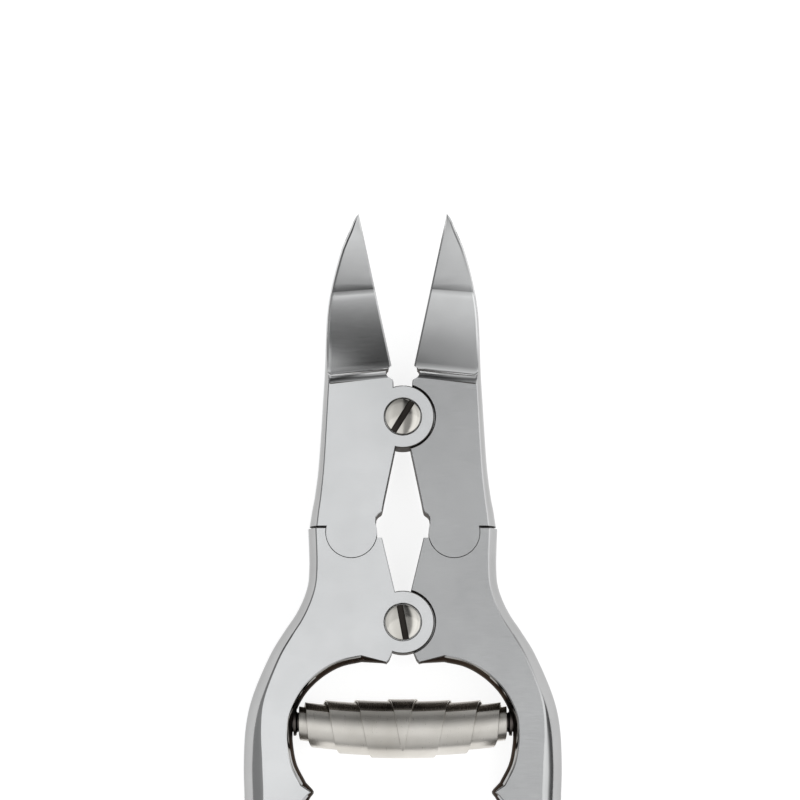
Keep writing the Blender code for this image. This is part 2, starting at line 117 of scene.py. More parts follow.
# Ground blades. Each OFF is the thickness taken off at the outer side and at the cutting edge
GRIND_SLANT = 1.0
GRIND_LEAD = 0.1
CREASE_SHARE = 0.48
CREASE_SLANT = 0.5
CREASE_STEP = 0.03
CREASE_WIDTH = 0.09
HOLLOW_STEPS = 16
TIP_STEPS = 10
OFF_AT_BASE = (0.6, 1.38)
OFF_AT_CREASE = (1.95, 2.62)
OFF_AT_TIP = (3.5, 3.72)
HOLLOW = 0.35
EDGE_THICKNESS = 0.3
EDGE_BEVEL_WIDTH = 1.5
MICRO_BEVEL = 0.22
MICRO_DEPTH = 0.8
CORNER_RISE = 0.7
CORNER_WIDTH = 0.9
CORNER_FADE = 4.0
SIDE_STRIP = 0.5
LEAST_WIDTH = 0.5
HAIR = 0.02

# Spring and its pegs
SPRING_LENGTH = SPRING_HIGH.x - SPRING_LOW.x
SPRING_RADIUS = 3.97
SPRING_SHEET = 0.2
SPRING_DROP = 13.6
SPRING_END_RISE = 0.9
PEG_RADIUS = 1.25
PEG_REACH = 2.2
PEG_COLLAR_RADIUS = 1.75
PEG_ROOT = 2.0
SEAT_GAP = 0.3
COLLAR_LENGTH = 0.5

# Fineness of curves, the share of a half circle that an arched side covers, the sine of a turn that counts as
# a corner, and how far cutters reach past what they cut
ROUND_STEPS = 72
CURVE_STEPS = 8
LEVEL_STEPS = 16
ARCH_SPAN = 0.85
SHARP_TURN = 0.5
FAR = 3.0

MIDDLE = THICKNESS / 2
JAW_PIVOT = (0.0, PIVOT_SPACING)
HANDLE_PIVOT = (0.0, 0.0)
LINK = (LINK_OUT, LINK_UP)
SHOULDER_UP = LINK_UP + SHOULDER_RISE
BASE_UP = PIVOT_SPACING + EAR_RADIUS + BASE_RISE
BLADE_LENGTH = JAW_HIGH.y - BASE_UP
TIP_UP = BASE_UP + BLADE_LENGTH
BLADE_FOOT = BASE_UP - 1.2
BAY_HALF_WIDTH = SPRING_LENGTH / 2 + SEAT_GAP + COLLAR_LENGTH
BULGE_HALF_WIDTH = BAY_HALF_WIDTH + BULGE_WALL


# Outlines: lists of (x, y, arch), where arch is how far the point draws in at the two flat faces


def arc(centre, radius, start, end, steps):
    """Points on a circle from one angle in degrees to another, with no arch."""
    points = []
    for step in range(steps + 1):
        angle = math.radians(start + (end - start) * step / steps)
        points.append((centre[0] + radius * math.cos(angle), centre[1] + radius * math.sin(angle), 0.0))
    return points


def smooth(points, steps=CURVE_STEPS):
    """A Catmull-Rom curve through the points, with this many steps between each two."""
    controls = [Vector(point) for point in points]
    controls = [2 * controls[0] - controls[1], *controls, 2 * controls[-1] - controls[-2]]
    curve = []
    for first, start, end, last in zip(controls, controls[1:], controls[2:], controls[3:]):
        for step in range(steps):
            t = step / steps
            bend = 2 * first - 5 * start + 4 * end - last
            twist = 3 * (start - end) + last - first
            curve.append(tuple(start + 0.5 * t * (end - first + t * (bend + t * twist))))
    curve.append(tuple(controls[-2]))
    return curve


def angle_to(centre, point):
    """The direction in degrees from a centre to a point."""
    return math.degrees(math.atan2(point[1] - centre[1], point[0] - centre[0]))


def on_circle(centre, radius, x=None, y=None, above=True):
    """The point of a circle at this x, above or below its centre, or at this y, on its inner side."""
    if y is None:
        rise = math.sqrt(radius**2 - (x - centre[0]) ** 2)
        return (x, centre[1] + (rise if above else -rise), 0.0)
    return (centre[0] - math.sqrt(radius**2 - (y - centre[1]) ** 2), y, 0.0)


def ear(centre, bottom, top):
    """The lap disc's outline, from its foot round past the tool's axis to its head."""
    return arc(centre, EAR_RADIUS, angle_to(centre, bottom), angle_to(centre, top) - 360, ROUND_STEPS)


def edge_out(y):
    """How far out the cutting edge is at this height, with the jaws open."""
    lean = math.radians(OPEN_ANGLE)
    return (y - PIVOT_SPACING) * math.tan(lean) + EDGE_GAP / math.cos(lean)


def jaw_side():
    """The jaw's outer side, from the blade's tip to the shoulder."""
    tip_out = edge_out(TIP_UP)
    belly = JAW_HALF_WIDTH - tip_out
    # Share of the blade's length, share of the belly's width beyond the tip, and arch
    blade = (
        (1, 0, 0),
        (0.962, 0.13, 0.1),
        (0.855, 0.345, 0.4),
        (0.748, 0.54, 0.6),
        (0.53, 0.8, 1),
        (0.32, 0.945, 1),
    )
    # Share of the height from the shoulder to the blade, share of the flare to the neck, and arch
    body = (
        (1, 0, 1),
        (0.8, 0.115, 1),
        (0.4, 0.385, 1.1),
        (0.2, 0.63, 1.25),
        (0.1, 0.82, 1.4),
        (0, 0.975, 1.5),
    )
    side = []
    for up, out, arch in blade:
        side.append((tip_out + belly * out, BASE_UP + BLADE_LENGTH * up, JAW_ARCH * arch))
    shoulder = SHOULDER_UP + SHOULDER_GAP / 2
    flare = NECK_HALF_WIDTH - JAW_HALF_WIDTH
    rise = BASE_UP - shoulder
    for up, out, arch in body:
        side.append((JAW_HALF_WIDTH + flare * out, shoulder + rise * up, JAW_ARCH * arch))
    return smooth(side)


JAW_SIDE = jaw_side()


def side_out(y):
    """How far out the jaw's silhouette is at this height."""
    heights = [point[1] for point in reversed(JAW_SIDE)]
    return float(np.interp(y, heights, [point[0] for point in reversed(JAW_SIDE)]))


def jaw_outline():
    """A jaw's outline: outer side, round tail, window, lap disc, relief and the foot of the cutting edge."""
    shoulder = SHOULDER_UP + SHOULDER_GAP / 2
    shoulder_end = math.degrees(math.asin((shoulder - LINK_UP) / TAIL_RADIUS))
    tail = arc(LINK, TAIL_RADIUS, shoulder_end, -180 - NOTCH_ANGLE, ROUND_STEPS)
    notch = tail[-1]
    foot = on_circle(JAW_PIVOT, EAR_RADIUS, x=0.95, above=False)
    window = smooth(
        [
            (notch[0] - 0.1, notch[1] + 0.8, 0),
            (notch[0] - 0.35, notch[1] + 1.15, 0),
            (notch[0] - 0.75, notch[1] + 1.45, 0),
            (notch[0] - 0.93, notch[1] + 2.0, 0),
            (notch[0] - 1.1, notch[1] + 2.9, 0),
        ],
        3,
    )
    head = on_circle(JAW_PIVOT, EAR_RADIUS, x=1.2)
    relief = smooth(
        [
            (1.2, BASE_UP - 2.4, 0),
            (1.3, BASE_UP - 1.95, 0),
            (1.95, BASE_UP - 1.5, 0),
            (2.2, BASE_UP - 1.0, 0),
            (2.05, BASE_UP - 0.5, 0),
            (1.75, BASE_UP - 0.2, 0),
        ],
        4,
    )
    base = [(edge_out(BASE_UP), BASE_UP, 0)]
    return JAW_SIDE + tail + window + ear(JAW_PIVOT, foot, head) + relief + base


def grip_centre(share):
    """The middle of the grip bar, from 0 at its start to 1 at its round end."""
    bend = 0.5 * share + 0.5 * share**1.6
    x = BULGE_HALF_WIDTH - BAR_WIDTH / 2 + GRIP_SPREAD * bend
    return Vector((x, -GRIP_START - (GRIP_REACH - BAR_WIDTH / 2 - GRIP_START) * share))


def grip_side(side, share, arch):
    """A point on the outer (1) or inner (-1) side of the grip bar."""
    ahead = grip_centre(share + 0.01) - grip_centre(max(share - 0.01, 0))
    across = Vector((-ahead.y, ahead.x)).normalized()
    point = grip_centre(share) + side * BAR_WIDTH / 2 * across
    return (point.x, point.y, arch)


def handle_outline():
    """A handle's outline: outer side, grip, spring bay, lap disc, lip and the tongue's round top."""
    shoulder = SHOULDER_UP - SHOULDER_GAP / 2
    tongue = TAIL_RADIUS - LAP_GAP
    swell = BULGE_HALF_WIDTH - NECK_HALF_WIDTH
    # Share of the swell, height, and share of the way from the side's arch to the bulge's
    side = (
        (0.017, shoulder, 0),
        (0.003, 9.2, 0),
        (0, 7.2, 0),
        (0.017, 5.1, 0),
        (0.089, 3.1, 0.03),
        (0.214, 1.0, 0.08),
        (0.376, -1.0, 0.14),
        (0.6, -4.1, 0.22),
        (0.86, -9.2, 0.38),
        (0.971, -13.3, 0.7),
        (1.0, -18.3, 1),
        (0.986, -23.0, 1),
    )
    outer = []
    for out, y, more in side:
        outer.append((NECK_HALF_WIDTH + swell * out, y, SIDE_ARCH + (BULGE_ARCH - SIDE_ARCH) * more))
    outer += [grip_side(1, share, 2.0) for share in (0, 0.25, 0.5, 0.75, 1)]
    end = grip_centre(1)
    turn = angle_to(end, grip_side(1, 1, 0))
    cap = []
    for x, y, _ in arc(end, BAR_WIDTH / 2, turn, turn - 180, 40)[1:-1]:
        cap.append((x, y, 1.6))
    inner = [grip_side(-1, share, 1.3) for share in (1, 0.75, 0.5, 0.25, 0.04)]
    inner += [(BAY_HALF_WIDTH - 0.95, -24.6, 1.0)]
    cusp = [
        (BAY_HALF_WIDTH - 2.3, -22.3, 0.5),
        (BAY_HALF_WIDTH - 2.66, -21.85, 0.35),
        (BAY_HALF_WIDTH - 2.7, -21.55, 0.35),
        (BAY_HALF_WIDTH - 2.5, -21.25, 0.4),
    ]
    bay = (
        (-1.7, -20.4, 1),
        (-0.5, -18.0, 1),
        (-0.02, -15.4, 1),
        (0, -13.6, 1),
        (-0.2, -12.0, 1),
        (-1.0, -10.1, 1),
        (-2.2, -8.4, 1),
        (-4.0, -6.8, 1),
        (-6.2, -5.6, 1),
        (-8.8, -5.0, 1),
    )
    wall = [(BAY_HALF_WIDTH + out, y, WALL_ARCH * arch) for out, y, arch in bay]
    tooth = [(2.1, -5.15, 0), (1.75, -4.75, 0)]
    foot = on_circle(HANDLE_PIVOT, EAR_RADIUS, x=1.35, above=False)
    head = on_circle(HANDLE_PIVOT, EAR_RADIUS, x=1.0)
    lip_up = LINK_UP - LIP_DROP
    lip = [(LINK_OUT - TAIL_RADIUS - LIP_LENGTH, lip_up, 0)]
    tongue_end = on_circle(LINK, tongue, y=lip_up)
    start = angle_to(LINK, tongue_end) % 360
    stop = math.degrees(math.asin((shoulder - LINK_UP) / tongue))
    top = arc(LINK, tongue, start, stop, ROUND_STEPS // 2)
    return (
        smooth(outer)
        + cap
        + smooth(inner)
        + cusp
        + smooth(wall)
        + tooth
        + ear(HANDLE_PIVOT, foot, head)
        + lip
        + top
    )


def edge_break(x, y):
    """How much of its edges a piece has lost: nothing on the ground blade, and a hair round a link."""
    if y > BLADE_FOOT:
        return 0.0
    near_link = math.hypot(x - LINK_OUT, y - LINK_UP) < TAIL_RADIUS + 0.05
    return FINE_BREAK if near_link else EDGE_BREAK


def drawn_in(outline, share, broken=False):
    """The outline moved inwards by this share of its arch and, if broken, by what its edges have lost. Each
    side moves by the smaller inset of its two ends, so that an arched corner slides along a plain side."""
    insets = [arch * share + (edge_break(x, y) if broken else 0) for x, y, arch in outline]
    area = sum(a[0] * b[1] - b[0] * a[1] for a, b in zip(outline, outline[1:] + outline[:1]))
    inward = 1 if area > 0 else -1
    sides = []
    for index, point in enumerate(outline):
        after = (index + 1) % len(outline)
        along = (Vector(outline[after][:2]) - Vector(point[:2])).normalized()
        sides.append((Vector((-along.y, along.x)) * inward, min(insets[index], insets[after])))
    moved = []
    for point, own, last, ahead in zip(outline, insets, sides[-1:] + sides[:-1], sides):
        (across, inset), (next_across, next_inset) = last, ahead
        turn = across.cross(next_across)
        if abs(turn) > SHARP_TURN:
            x = (inset * next_across.y - next_inset * across.y) / turn
            y = (across.x * next_inset - next_across.x * inset) / turn
            move = Vector((x, y))
        else:
            move = (across + next_across).normalized() * own
        moved.append(Vector(point[:2]) + move)
    return moved


# Building


def link(made):
    """Puts a new object in the scene."""
    bpy.context.scene.collection.objects.link(made)
    return made


def new_object(name, shape):
    """An object from a bmesh in millimetres."""
    bmesh.ops.recalc_face_normals(shape, faces=shape.faces)
    bmesh.ops.scale(shape, vec=(MM, MM, MM), verts=shape.verts)
    mesh = bpy.data.meshes.new(name)
    shape.to_mesh(mesh)
    shape.free()
    return link(bpy.data.objects.new(name, mesh))


def add_rings(shape, rings, folded=False):
    """Joins rings of points with the same count into one skin, and closes its two ends: with one face each
    or, on a folded section whose second half runs back over its first, with a strip of faces."""
    skins = [[shape.verts.new(point) for point in ring] for ring in rings]
    for lower, upper in zip(skins, skins[1:]):
        for index in range(len(lower)):
            after = (index + 1) % len(lower)
            shape.faces.new((lower[index], lower[after], upper[after], upper[index]))
    for skin in (skins[0], skins[-1]):
        if not folded:
            shape.faces.new(skin)
            continue
        for index in range(len(skin) // 2 - 1):
            shape.faces.new((skin[index], skin[index + 1], skin[-index - 2], skin[-index - 1]))


def plate(name, outline, side):
    """A flat piece of full thickness whose sides are arched between its two faces, with its edges broken."""
    flat = 1 - math.sqrt(1 - ARCH_SPAN**2)
    levels = [math.sin(math.pi / 2 * (2 * step / LEVEL_STEPS - 1)) for step in range(1, LEVEL_STEPS)]
    reach = 1 - EDGE_BREAK / MIDDLE
    levels = [(-1.0, True)] + [(level * reach, False) for level in (-1, *levels, 1)] + [(1.0, True)]
    rings = []
    for level, broken in levels:
        share = (1 - math.sqrt(1 - (ARCH_SPAN * level) ** 2)) / flat
        z = MIDDLE * (1 + level)
        rings.append([(side * p.x, p.y, z) for p in drawn_in(outline, share, broken)])
    shape = bmesh.new()
    add_rings(shape, rings)
    return new_object(name, shape)


def turned_cutter(name, centre, profile, along=None):
    """A cutter turned from (radius, height) points about Z through a centre, or about X at this height."""
    rings = []
    for radius, z in profile:
        ring = []
        for step in range(2 * ROUND_STEPS):
            angle = math.pi * step / ROUND_STEPS
            ring.append(Vector((radius * math.cos(angle), radius * math.sin(angle), z)))
        rings.append(ring)
    shape = bmesh.new()
    add_rings(shape, rings)
    if along:
        bmesh.ops.rotate(shape, matrix=Matrix.Rotation(along * math.pi / 2, 3, "Y"), verts=shape.verts)
    bmesh.ops.translate(shape, vec=(*centre, 0) if len(centre) == 2 else centre, verts=shape.verts)
    return new_object(name, shape)


def disc_cutter(name, centre, radius, bottom, top, flare=EDGE_BREAK):
    """A round cutter that also breaks the edge where it comes out of the front or the back."""
    profile = []
    if bottom < 0:
        profile += [(radius + flare, bottom), (radius + flare, 0), (radius, flare)]
    else:
        profile.append((radius, bottom))
    if top > THICKNESS:
        profile += [(radius, THICKNESS - flare), (radius + flare, THICKNESS), (radius + flare, top)]
    else:
        profile.append((radius, top))
    return turned_cutter(name, centre, profile)


def cut(piece, cutters):
    """Cuts the cutters out of a piece for good, one after another."""
    for cutter in cutters:
        modifier = piece.modifiers.new(cutter.name, "BOOLEAN")
        modifier.operation = "DIFFERENCE"
        modifier.solver = "EXACT"
        modifier.object = cutter
    graph = bpy.context.evaluated_depsgraph_get()
    mesh = bpy.data.meshes.new_from_object(piece.evaluated_get(graph))
    piece.modifiers.clear()
    piece.data = mesh
    for cutter in cutters:
        bpy.data.objects.remove(cutter)


def tidy(piece):
    """Welds what the cuts left a hair apart."""
    shape = bmesh.new()
    shape.from_mesh(piece.data)
    bmesh.ops.remove_doubles(shape, verts=shape.verts, dist=0.002 * MM)
    bmesh.ops.dissolve_degenerate(shape, edges=shape.edges, dist=0.001 * MM)
    shape.to_mesh(piece.data)
    shape.free()


def shade(piece, angle=22):
    """Shades a piece smooth, apart from edges that turn by more than this angle in degrees."""
    piece.data.shade_smooth()
    piece.data.set_sharp_from_angle(angle=math.radians(angle))


# The run-in below a ground face: how far below it, and the share of its depth. It ends on a narrow shelf
RUN_IN = (
    (1.9, -0.3),
    (1.6, -0.02),
    (1.35, 0.03),
    (1.1, 0.11),
    (0.85, 0.24),
    (0.6, 0.46),
    (0.4, 0.72),
    (0.26, 0.93),
    (0.18, 0.99),
    (0.08, 1.0),
)
# The rounded strip at the outer side of a ground face: share of its width from the side, and its drop as a
# share of that width. STRIP_WALL is how much deeper the cut is outside it
STRIP = ((0.0, 0.9), (0.35, 0.45), (0.7, 0.12), (1.0, 0.0))
STRIP_WALL = 1.2


def ground_rows():
    """Rows of a ground face, from the jaw's body to the tip: height by the outer side, height by the edge,
    and the thickness taken off at each."""
    crease = BASE_UP + BLADE_LENGTH * CREASE_SHARE
    start = BASE_UP - GRIND_LEAD - GRIND_SLANT
    rows = []
    for below, depth in RUN_IN:
        up = start - below
        off = OFF_AT_BASE[0] * depth
        edge_off = off if depth < 0 else OFF_AT_BASE[1] * depth
        rows.append((up, up + GRIND_SLANT, off, edge_off))
    rows.append((start, start + GRIND_SLANT, *OFF_AT_BASE))
    for step in range(1, HOLLOW_STEPS):
        share = step / HOLLOW_STEPS
        sag = HOLLOW * 4 * share * (1 - share)
        off = [a + (b - a) * share + sag for a, b in zip(OFF_AT_BASE, OFF_AT_CREASE)]
        up = start + (crease - start) * share
        rows.append((up, up + GRIND_SLANT + (CREASE_SLANT - GRIND_SLANT) * share, *off))
    stepped = [off - CREASE_STEP for off in OFF_AT_CREASE]
    rows.append((crease - CREASE_WIDTH, crease + CREASE_SLANT - CREASE_WIDTH, *stepped))
    rows.append((crease, crease + CREASE_SLANT, *OFF_AT_CREASE))
    for step in range(1, TIP_STEPS + 1):
        share = step / TIP_STEPS
        off = [a + (b - a) * share for a, b in zip(OFF_AT_CREASE, OFF_AT_TIP)]
        up = crease + (TIP_UP + 1 - crease) * share
        rows.append((up, up, *off))
    return rows


def grind_cutter(name, front):
    """The metal ground off one face of a blade, with a rounded outer strip and a fine bevel at the edge.
    The back is also bevelled up to the cutting edge."""
    rings = []
    for outer_up, edge_up, outer_off, edge_off in ground_rows():
        edge = edge_out(max(edge_up, BASE_UP))
        on_blade = edge_up >= BASE_UP - GRIND_LEAD * 2
        outer = max(side_out(outer_up), edge + 4 * HAIR)
        width = outer - edge
        sloped = max(width, LEAST_WIDTH)
        strip = min(SIDE_STRIP, 0.35 * width) if on_blade else HAIR
        micro = min(MICRO_BEVEL, 0.2 * width) if on_blade else HAIR
        corner = min(CORNER_WIDTH, 0.45 * width)
        slope = (edge_off - outer_off) / sloped

        def level(x):
            return edge_off - slope * (x - edge)

        line = [(JAW_HALF_WIDTH + FAR, outer_off + (STRIP_WALL if on_blade else 0))]
        for share, drop in STRIP:
            line.append((outer - strip * share, level(outer - strip) + drop * strip))
        line.append((outer - corner, level(outer - corner)))
        if front:
            line.append((edge + micro, level(edge + micro)))
            line.append((edge, level(edge) + (MICRO_DEPTH * micro if on_blade else 0)))
            line.append((edge - FAR, line[-1][1] + 0.5))
        else:
            bevel = min(EDGE_BEVEL_WIDTH, 0.5 * width)
            remains = THICKNESS - edge_off - MICRO_DEPTH * micro - EDGE_THICKNESS
            line.append((edge + bevel, level(edge + bevel)))
            line.append((edge, max(remains, edge_off) if on_blade else edge_off))
            line.append((edge - FAR, line[-1][1]))
        fade = min(max(1 - (outer_up - BASE_UP) / CORNER_FADE, 0), 1)
        points = []
        for x, off in line:
            up = outer_up + (edge_up - outer_up) * min(max((outer - x) / sloped, 0), 1)
            up += CORNER_RISE * fade * min(max(1 - (outer - x) / corner, 0), 1)
            points.append((x, up, THICKNESS - off if front else off))
        beyond = THICKNESS + FAR if front else -FAR
        rings.append(points + [(x, y, beyond) for x, y, _ in reversed(points)])
    shape = bmesh.new()
    add_rings(shape, rings, folded=True)
    bmesh.ops.triangulate(shape, faces=shape.faces)
    return new_object(name, shape)


def pivot_cutters(name, centre, front_lap):
    """The pivot screw's hole and, in the front lap, the seat of its head."""
    radius = SCREW_SHANK_RADIUS + HOLE_GAP
    cutters = [disc_cutter(name + "_pivot", centre, radius, -FAR, THICKNESS + FAR)]
    if front_lap:
        seat = THICKNESS - SCREW_HEAD_DEPTH - HOLE_GAP
        head = SCREW_HEAD_RADIUS + HOLE_GAP
        cutters.append(disc_cutter(name + "_seat", centre, head, seat, THICKNESS + FAR))
    return cutters


def lap_cutter(name, centre, front_lap):
    """Half the thickness round a pivot, which the other lap takes up."""
    if front_lap:
        return disc_cutter(name + "_lap", centre, EAR_RADIUS + EAR_GAP, -FAR, MIDDLE + LAP_GAP / 2)
    return disc_cutter(name + "_lap", centre, EAR_RADIUS + EAR_GAP, MIDDLE - LAP_GAP / 2, THICKNESS + FAR)


def pin_cutter(name, side):
    """The link pin's hole, which is blind from the front."""
    link_point = (side * LINK_OUT, LINK_UP)
    return disc_cutter(name + "_pin", link_point, LINK_PIN_RADIUS + HOLE_GAP, -FAR, THICKNESS - PIN_COVER)


def make_jaw(node, side, front_lap):
    """A jaw is built as a right one, and a left one is turned over left for right."""
    name = node + "_forging"
    jaw = plate(name, jaw_outline(), 1)
    fork = TONGUE_THICKNESS / 2 + LAP_GAP / 2
    cutters = [
        lap_cutter(name, JAW_PIVOT, front_lap),
        disc_cutter(name + "_fork", LINK, TAIL_RADIUS + TAIL_GAP, MIDDLE - fork, MIDDLE + fork),
        grind_cutter(name + "_front", True),
        grind_cutter(name + "_back", False),
        pin_cutter(name, 1),
    ]
    cut(jaw, cutters + pivot_cutters(name, JAW_PIVOT, front_lap))
    if side < 0:
        jaw.data.transform(Matrix.Diagonal((-1, 1, 1, 1)))
        jaw.data.flip_normals()
    return jaw


def make_handle(node, side, front_lap):
    """A handle, whose tongue is left between two cheeks cut for the jaw's fork."""
    name = node + "_forging"
    handle = plate(name, handle_outline(), side)
    link_point = (side * LINK_OUT, LINK_UP)
    tongue = TONGUE_THICKNESS / 2
    cheek = TAIL_RADIUS + TAIL_GAP
    peg_at = (side * BAY_HALF_WIDTH, SPRING_END_RISE - SPRING_DROP, MIDDLE)
    collar = PEG_COLLAR_RADIUS + HOLE_GAP
    root = PEG_RADIUS + HOLE_GAP
    profile = [(collar, -FAR), (collar, 0), (root, 0), (root, PEG_ROOT)]
    cutters = [
        lap_cutter(name, HANDLE_PIVOT, front_lap),
        disc_cutter(name + "_back_cheek", link_point, cheek, -FAR, MIDDLE - tongue, FINE_BREAK),
        disc_cutter(name + "_front_cheek", link_point, cheek, MIDDLE + tongue, THICKNESS + FAR, FINE_BREAK),
        pin_cutter(name, side),
        turned_cutter(name + "_peg", peg_at, profile, along=side),
    ]
    cut(handle, cutters + pivot_cutters(name, HANDLE_PIVOT, front_lap))
    return handle


def turned(name, profile, steps=ROUND_STEPS):
    """A turned piece from (radius, height) points about Z, from one end to the other, both on the axis."""
    shape = bmesh.new()
    rings = []
    for radius, z in profile[1:-1]:
        angles = [2 * math.pi * step / steps for step in range(steps)]
        rings.append([shape.verts.new((radius * math.cos(a), radius * math.sin(a), z)) for a in angles])
    for lower, upper in zip(rings, rings[1:]):
        for index in range(steps):
            after = (index + 1) % steps
            shape.faces.new((lower[index], lower[after], upper[after], upper[index]))
    for ring, z in ((rings[0], profile[0][1]), (rings[-1], profile[-1][1])):
        pole = shape.verts.new((0, 0, z))
        for index in range(steps):
            shape.faces.new((ring[index], ring[(index + 1) % steps], pole))
    return new_object(name, shape)


def quarter_round(corner, radius, steps):
    """Profile points round a quarter circle, from near the axis outwards. The corner is its outermost radius
    and its top."""
    points = []
    for step in range(1, steps + 1):
        angle = math.pi / 2 * step / steps
        reach = corner[0] - radius + radius * math.sin(angle)
        points.append((reach, corner[1] - radius * (1 - math.cos(angle))))
    return points


def move_to(piece, node):
    """Moves a piece turned about the origin's axis on to the axis of its CAD node."""
    low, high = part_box(node)
    centre = (low + high) / 2
    piece.data.transform(Matrix.Translation((centre.x, centre.y, 0)))


def make_screw(node, slot_angle):
    """A slotted pivot screw: a low domed head with a rolled rim, and a shank that ends at the back."""
    rim = 0.12
    dome_steps = 12
    sink = 0.88
    chamfer = 0.2
    profile = [(0, THICKNESS + SCREW_DOME)]
    for step in range(1, dome_steps + 1):
        share = step / dome_steps
        rise = SCREW_DOME * math.sqrt(1 - sink * share**2)
        profile.append(((SCREW_HEAD_RADIUS - rim) * share, THICKNESS + rise))
    profile += quarter_round((SCREW_HEAD_RADIUS, profile[-1][1]), rim, 4)
    under = THICKNESS - SCREW_HEAD_DEPTH
    profile += [
        (SCREW_HEAD_RADIUS, under),
        (SCREW_SHANK_RADIUS, under),
        (SCREW_SHANK_RADIUS, chamfer),
        (SCREW_SHANK_RADIUS - chamfer, 0.0),
        (0, 0),
    ]
    screw = turned(node + "_turned", profile, 2 * ROUND_STEPS)
    flare = 1.25
    slot = bmesh.new()
    bmesh.ops.create_cube(slot, size=1)
    bmesh.ops.scale(slot, vec=(SLOT_WIDTH, 4 * SCREW_HEAD_RADIUS, 2 * SLOT_DEPTH), verts=slot.verts)
    for vert in slot.verts:
        if vert.co.z > 0:
            vert.co.x *= flare
    bmesh.ops.rotate(slot, matrix=Matrix.Rotation(math.radians(slot_angle), 3, "Z"), verts=slot.verts)
    bmesh.ops.translate(slot, vec=(0, 0, THICKNESS + SCREW_DOME), verts=slot.verts)
    cut(screw, [new_object(node + "_slot", slot)])
    move_to(screw, node)
    return screw


def make_link_pin(node):
    """A plain pin with chamfered ends, as long and as thick as its CAD node."""
    low, high = (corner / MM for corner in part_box(node))
    radius = (high.x - low.x) / 2
    chamfer = 0.2
    profile = [
        (0, high.z),
        (radius - chamfer, high.z),
        (radius, high.z - chamfer),
        (radius, chamfer),
        (radius - 0.3 * chamfer, 0.3 * chamfer),
        (radius - chamfer, 0),
        (0, 0),
    ]
    pin = turned(node + "_turned", profile)
    move_to(pin, node)
    return pin


def make_peg(node, side):
    """A stud in the bay's wall whose nose holds one end of the coil. Its axis runs along X."""
    nose = COLLAR_LENGTH + SEAT_GAP + PEG_REACH
    chamfer = 0.12
    neck = 0.1
    profile = [(0, nose)] + quarter_round((PEG_RADIUS, nose), 0.5, 6)
    profile += [
        (PEG_RADIUS, COLLAR_LENGTH + chamfer),
        (PEG_RADIUS + chamfer, COLLAR_LENGTH),
        (PEG_COLLAR_RADIUS - chamfer, COLLAR_LENGTH),
        (PEG_COLLAR_RADIUS, COLLAR_LENGTH - chamfer),
        (PEG_COLLAR_RADIUS, neck),
        (PEG_RADIUS, neck),
        (PEG_RADIUS, HOLE_GAP - PEG_ROOT),
        (0, HOLE_GAP - PEG_ROOT),
    ]
    peg = turned(node + "_turned", profile)
    turn = Matrix.Rotation(-side * math.pi / 2, 4, "Y")
    place = Matrix.Translation(Vector((side * BAY_HALF_WIDTH, SPRING_END_RISE - SPRING_DROP, MIDDLE)) * MM)
    peg.data.transform(place @ turn)
    return peg


# The sheet's turns in from its outer end, its share of the spring's half width there, and how far its outer
# skin is inside the barrel's
COIL_TURNS = (
    (0, 0.012, 0.0),
    (1, 0.34, 0.27),
    (2, 0.65, 0.57),
    (3, 0.91, 1.02),
    (4, 1.0, 1.77),
    (4.8, 1.0, 2.1),
)
TURN_STEPS = 96
TONGUE_ANGLE = 135.0


def coil_at(turns):
    """Half width and middle radius of the sheet, this many turns in from its outer end."""
    for near, far in zip(COIL_TURNS, COIL_TURNS[1:]):
        if turns <= far[0]:
            share = (turns - near[0]) / (far[0] - near[0])
            break
    width, inset = (a + (b - a) * share for a, b in zip(near[1:], far[1:]))
    return width * SPRING_LENGTH / 2, SPRING_RADIUS - SPRING_SHEET / 2 - inset


def make_spring(node):
    """One chevron-shaped sheet rolled up from its wide end, so that its tip is outermost and the coil is a
    barrel. The skin is a ring of points round the sheet's section at each step of the roll."""
    half_steps = 12
    across = [math.sin(math.pi / 2 * (step / half_steps - 1)) for step in range(2 * half_steps + 1)]
    half_sheet = SPRING_SHEET / 2
    corner = 0.35 * half_sheet
    rings = []
    for step in range(math.floor(COIL_TURNS[-1][0] * TURN_STEPS) + 1):
        inward = step / TURN_STEPS
        half, radius = coil_at(inward)
        angle = math.radians(TONGUE_ANGLE - 360 * inward)
        trim = min(corner, 0.4 * half)
        upper = [(half * share * (1 - trim / half), half_sheet) for share in across]
        right = [(half, half_sheet - corner), (half, -half_sheet + corner)]
        left = [(-half, -half_sheet + corner), (-half, half_sheet - corner)]
        section = upper + right + [(x, -half_sheet) for x, _ in reversed(upper)] + left
        ring = []
        for x, out in section:
            bow = SPRING_END_RISE * (2 * x / SPRING_LENGTH) ** 2
            reach = radius + out
            ring.append((x, reach * math.cos(angle) + bow - SPRING_DROP, reach * math.sin(angle) + MIDDLE))
        rings.append(ring)
    shape = bmesh.new()
    add_rings(shape, rings)
    return new_object(node + "_rolled", shape)


# Materials

# The range of a noise texture that is spread over a material's range, and the depth of brush lines in metres
NOISE_RANGE = (0.3, 0.7)
LINE_DEPTH = 0.00001


